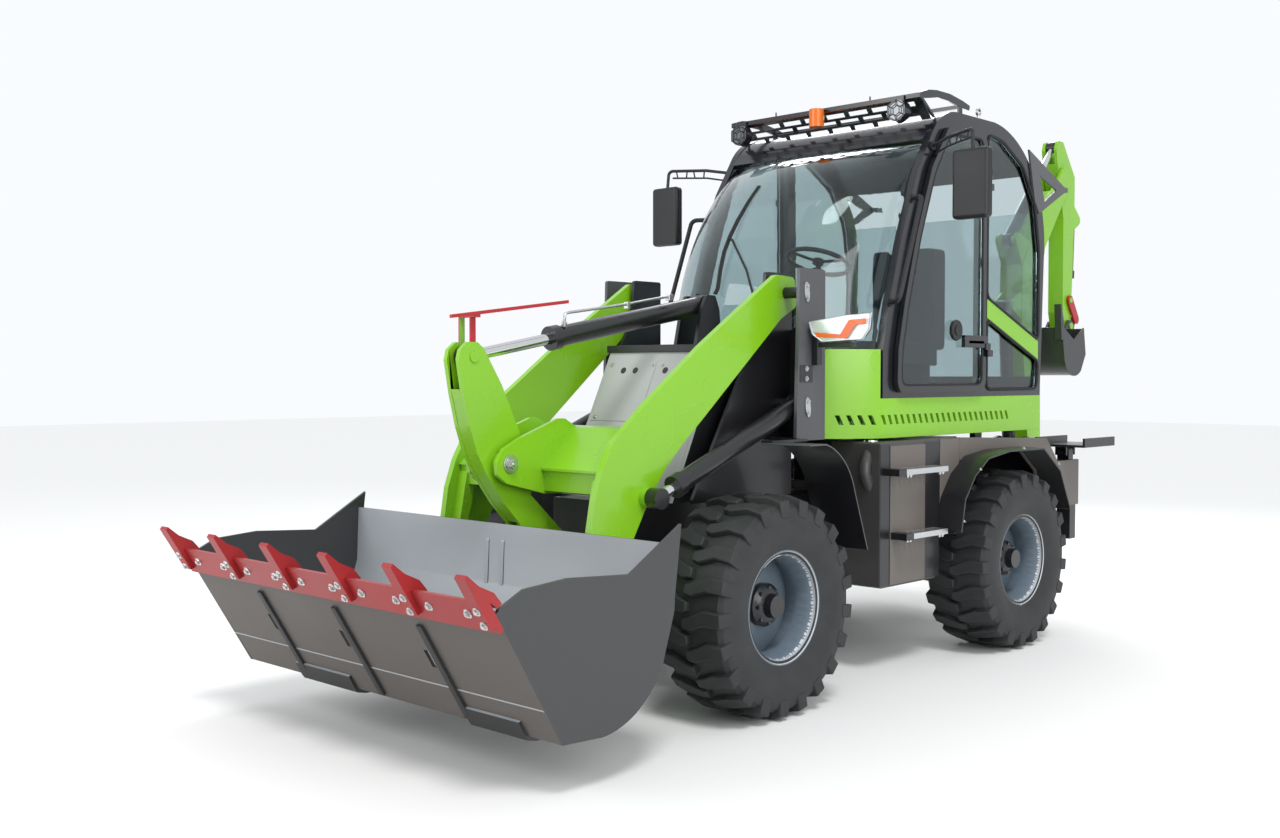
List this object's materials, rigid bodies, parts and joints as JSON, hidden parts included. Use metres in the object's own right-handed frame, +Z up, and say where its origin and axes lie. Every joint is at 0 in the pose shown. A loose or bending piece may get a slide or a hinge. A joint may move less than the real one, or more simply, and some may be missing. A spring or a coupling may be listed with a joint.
{
  "type": "backhoe loader",
  "caption": "Articulated wheel loader with a front bucket on a bellcrank linkage, an enclosed cab, and a folded side-shift backhoe with stabilizers.",
  "frame": {"origin": "on the ground under the middle of the machine's overall box", "axes": "+X towards the loader bucket, +Y to the driver's left, +Z up"},
  "size_m": [6.5222, 2.47, 3.3465],
  "materials": {
    "lime_paint": "satin",
    "graphite_paint": "satin",
    "black_paint": "satin",
    "silver_rim": "satin",
    "tyre": "matte",
    "glass": "clear",
    "chrome": "polished",
    "red_paint": "satin",
    "steel": "brushed",
    "black_plastic": "matte",
    "lamp_plastic": "gloss",
    "seat_fabric": "woven"
  },
  "bodies": {
    "rear_body": {"rear_frame": "graphite_paint", "rear_axle": "black_paint", "engine_block": "black_paint", "side_tanks": "graphite_paint", "rear_fenders": "graphite_paint", "cab_base": "lime_paint", "cab_frame": "black_paint", "cab_glass": "glass", "roof_rack": "black_paint", "mirrors_and_rails": "black_paint", "seat": "seat_fabric", "steering_console": "black_plastic"},
    "front_body": {"front_frame": "graphite_paint", "front_axle": "black_paint", "front_fenders": "black_paint", "head_lamps": "lamp_plastic"},
    "front_left_wheel": {"front_left_rim": "silver_rim", "front_left_tyre": "tyre"},
    "front_right_wheel": {"front_right_rim": "silver_rim", "front_right_tyre": "tyre"},
    "rear_left_wheel": {"rear_left_rim": "silver_rim", "rear_left_tyre": "tyre"},
    "rear_right_wheel": {"rear_right_rim": "silver_rim", "rear_right_tyre": "tyre"},
    "loader_arms": {"loader_arms": "lime_paint", "bucket_pins": "steel", "crank_pin": "steel"},
    "loader_bucket": {"loader_bucket": "graphite_paint", "bucket_edge": "red_paint"},
    "bellcrank": {"bellcrank": "lime_paint", "link_pin": "steel"},
    "tilt_link": {"tilt_link": "black_paint"},
    "tilt_barrel": {"tilt_barrel": "black_paint"},
    "tilt_rod": {"tilt_rod": "chrome"},
    "lift_barrels": {"lift_barrels": "black_paint"},
    "lift_rods": {"lift_rods": "chrome"},
    "steering_wheel": {"steering_wheel": "black_plastic"},
    "slide_carriage": {"slide_carriage": "black_paint"},
    "swing_post": {"swing_post": "black_paint"},
    "boom": {"boom": "lime_paint"},
    "boom_barrel": {"boom_barrel": "black_paint"},
    "boom_rod": {"boom_rod": "chrome"},
    "dipper": {"dipper": "lime_paint"},
    "dipper_barrel": {"dipper_barrel": "black_paint"},
    "dipper_rod": {"dipper_rod": "chrome"},
    "hoe_bucket_barrel": {"hoe_bucket_barrel": "black_paint"},
    "hoe_bucket_rod": {"hoe_bucket_rod": "chrome"},
    "hoe_lever": {"hoe_lever": "black_paint"},
    "hoe_link": {"hoe_link": "black_paint"},
    "hoe_bucket": {"hoe_bucket": "graphite_paint"},
    "left_stabilizer": {"left_stabilizer": "black_paint"},
    "right_stabilizer": {"right_stabilizer": "black_paint"},
    "left_pad": {"left_pad": "black_paint"},
    "right_pad": {"right_pad": "black_paint"},
    "left_door": {"left_door": "black_paint", "left_door_glass": "glass"},
    "right_door": {"right_door": "black_paint", "right_door_glass": "glass"}
  },
  "joints": [
    {"name": "articulation", "type": "hinge", "parent": "rear_body", "child": "front_body", "pos_m": [0.01686, 0, 0.855], "axis": [0, 0, 1], "range_deg": [-30, 30]},
    {"name": "front_left_wheel_spin", "type": "hinge", "parent": "front_body", "child": "front_left_wheel", "pos_m": [1.18386, 0.805, 0.5375], "axis": [0, 1, 0], "continuous": true},
    {"name": "front_right_wheel_spin", "type": "hinge", "parent": "front_body", "child": "front_right_wheel", "pos_m": [1.18386, -0.805, 0.5375], "axis": [0, 1, 0], "continuous": true},
    {"name": "rear_left_wheel_spin", "type": "hinge", "parent": "rear_body", "child": "rear_left_wheel", "pos_m": [-1.15014, 0.805, 0.5375], "axis": [0, 1, 0], "continuous": true},
    {"name": "rear_right_wheel_spin", "type": "hinge", "parent": "rear_body", "child": "rear_right_wheel", "pos_m": [-1.15014, -0.805, 0.5375], "axis": [0, 1, 0], "continuous": true},
    {"name": "lift", "type": "hinge", "parent": "front_body", "child": "loader_arms", "pos_m": [0.62686, 0, 2.08], "axis": [0, -1, 0], "range_deg": [-4, 72]},
    {"name": "bucket_tilt", "type": "hinge", "parent": "loader_arms", "child": "loader_bucket", "pos_m": [1.99186, 0, 0.48], "axis": [0, 1, 0], "range_deg": [0, 100]},
    {"name": "crank_turn", "type": "hinge", "parent": "loader_arms", "child": "bellcrank", "pos_m": [2.15686, 0, 1.232], "axis": [0, -1, 0], "range_deg": [-0.5, 15.96]},
    {"name": "link_turn", "type": "hinge", "parent": "bellcrank", "child": "tilt_link", "pos_m": [1.80286, 0, 0.619], "axis": [0, 1, 0], "range_deg": [-0.5, 90.16]},
    {"name": "tilt_barrel_swing", "type": "hinge", "parent": "front_body", "child": "tilt_barrel", "pos_m": [0.68586, 0, 2.031], "axis": [0, -1, 0], "range_deg": [-4.57, 73.73]},
    {"name": "tilt_rod_slide", "type": "slide", "parent": "tilt_barrel", "child": "tilt_rod", "axis": [0.9839, 0, -0.1787], "range_m": [-0.14347, 0.004]},
    {"name": "lift_barrel_swing", "type": "hinge", "parent": "front_body", "child": "lift_barrels", "pos_m": [0.62286, 0, 1.498], "axis": [0, -1, 0], "range_deg": [-4.19, 67.01]},
    {"name": "lift_rod_slide", "type": "slide", "parent": "lift_barrels", "child": "lift_rods", "axis": [0.9299, 0, -0.3678], "range_m": [-0.04121, 0.67385]},
    {"name": "steering_turn", "type": "hinge", "parent": "rear_body", "child": "steering_wheel", "pos_m": [-0.40314, 0, 2.337], "axis": [-0.3489, 0, 0.9371], "range_deg": [-362, 362]},
    {"name": "left_door_hinge", "type": "hinge", "parent": "rear_body", "child": "left_door", "pos_m": [-1.04714, 0.798, 2.3], "axis": [0, 0, 1], "range_deg": [0, 165]},
    {"name": "right_door_hinge", "type": "hinge", "parent": "rear_body", "child": "right_door", "pos_m": [-1.04714, -0.798, 2.3], "axis": [0, 0, -1], "range_deg": [0, 165]},
    {"name": "side_shift", "type": "slide", "parent": "rear_body", "child": "slide_carriage", "axis": [0, 1, 0], "range_m": [-0.68, 0.18]},
    {"name": "swing", "type": "hinge", "parent": "slide_carriage", "child": "swing_post", "pos_m": [-2.35314, 0.25, 0.8], "axis": [0, 0, 1], "range_deg": [-80, 80]},
    {"name": "boom_hinge", "type": "hinge", "parent": "swing_post", "child": "boom", "pos_m": [-2.54314, 0.25, 0.9], "axis": [0, -1, 0], "range_deg": [0, 85]},
    {"name": "dipper_hinge", "type": "hinge", "parent": "boom", "child": "dipper", "pos_m": [-3.00314, 0.25, 3.09], "axis": [0, 1, 0], "range_deg": [0, 65]},
    {"name": "hoe_bucket_hinge", "type": "hinge", "parent": "dipper", "child": "hoe_bucket", "pos_m": [-3.06814, 0.25, 2.01], "axis": [0, 1, 0], "range_deg": [0, 105]},
    {"name": "boom_barrel_swing", "type": "hinge", "parent": "swing_post", "child": "boom_barrel", "pos_m": [-2.31814, 0.25, 1.165], "axis": [0, -1, 0], "range_deg": [-0.5, 89.25]},
    {"name": "boom_rod_slide", "type": "slide", "parent": "boom_barrel", "child": "boom_rod", "axis": [0.0754, 0, 0.9972], "range_m": [-0.004, 0.46736]},
    {"name": "dipper_barrel_swing", "type": "hinge", "parent": "boom", "child": "dipper_barrel", "pos_m": [-2.28814, 0.25, 2.59], "axis": [0, -1, 0], "range_deg": [-0.5, 1.72]},
    {"name": "dipper_rod_slide", "type": "slide", "parent": "dipper_barrel", "child": "dipper_rod", "axis": [-0.6669, 0, 0.7451], "range_m": [-0.24806, 0.004]},
    {"name": "hoe_lever_turn", "type": "hinge", "parent": "dipper", "child": "hoe_lever", "pos_m": [-3.08314, 0.25, 2.2], "axis": [0, 1, 0], "range_deg": [-0.5, 95.28]},
    {"name": "hoe_link_turn", "type": "hinge", "parent": "hoe_lever", "child": "hoe_link", "pos_m": [-3.18214, 0.25, 2.062], "axis": [0, -1, 0], "range_deg": [-0.5, 72.45]},
    {"name": "hoe_bucket_barrel_swing", "type": "hinge", "parent": "dipper", "child": "hoe_bucket_barrel", "pos_m": [-3.22314, 0.25, 2.8], "axis": [0, 1, 0], "range_deg": [-0.5, 2.42]},
    {"name": "hoe_bucket_rod_slide", "type": "slide", "parent": "hoe_bucket_barrel", "child": "hoe_bucket_rod", "axis": [0.0555, 0, -0.9985], "range_m": [-0.25318, 0.004]},
    {"name": "left_stabilizer_hinge", "type": "hinge", "parent": "rear_body", "child": "left_stabilizer", "pos_m": [-2.27814, 0.69, 0.62], "axis": [-1, 0, 0], "range_deg": [0, 150]},
    {"name": "left_pad_hinge", "type": "hinge", "parent": "left_stabilizer", "child": "left_pad", "pos_m": [-2.27814, 0.69, 1.13], "axis": [-1, 0, 0], "range_deg": [-0.5, 30.5]},
    {"name": "right_stabilizer_hinge", "type": "hinge", "parent": "rear_body", "child": "right_stabilizer", "pos_m": [-2.27814, -0.69, 0.62], "axis": [1, 0, 0], "range_deg": [0, 150]},
    {"name": "right_pad_hinge", "type": "hinge", "parent": "right_stabilizer", "child": "right_pad", "pos_m": [-2.27814, -0.69, 1.13], "axis": [1, 0, 0], "range_deg": [-0.5, 30.5]}
  ],
  "couplings": [
    {"joint": "crank_turn", "follows": "bucket_tilt", "ratio": 0.15455},
    {"joint": "link_turn", "follows": "bucket_tilt", "ratio": 0.89663},
    {"joint": "tilt_barrel_swing", "follows": "lift", "ratio": 1.0171},
    {"joint": "tilt_rod_slide", "follows": "bucket_tilt", "m_per_rad": -0.079911},
    {"joint": "lift_barrel_swing", "follows": "lift", "ratio": 0.92374},
    {"joint": "lift_rod_slide", "follows": "lift", "m_per_rad": 0.53305},
    {"joint": "steering_turn", "follows": "articulation", "ratio": 12},
    {"joint": "boom_barrel_swing", "follows": "boom_hinge", "ratio": 1.0441},
    {"joint": "boom_rod_slide", "follows": "boom_hinge", "m_per_rad": 0.31234},
    {"joint": "dipper_barrel_swing", "follows": "dipper_hinge", "ratio": 0.018732},
    {"joint": "dipper_rod_slide", "follows": "dipper_hinge", "m_per_rad": -0.21513},
    {"joint": "hoe_lever_turn", "follows": "hoe_bucket_hinge", "ratio": 0.90267},
    {"joint": "hoe_link_turn", "follows": "hoe_bucket_hinge", "ratio": 0.68521},
    {"joint": "hoe_bucket_barrel_swing", "follows": "hoe_bucket_hinge", "ratio": 0.018333},
    {"joint": "hoe_bucket_rod_slide", "follows": "hoe_bucket_hinge", "m_per_rad": -0.13597},
    {"joint": "left_pad_hinge", "follows": "left_stabilizer_hinge", "ratio": 0.2},
    {"joint": "right_pad_hinge", "follows": "right_stabilizer_hinge", "ratio": 0.2}
  ]
}
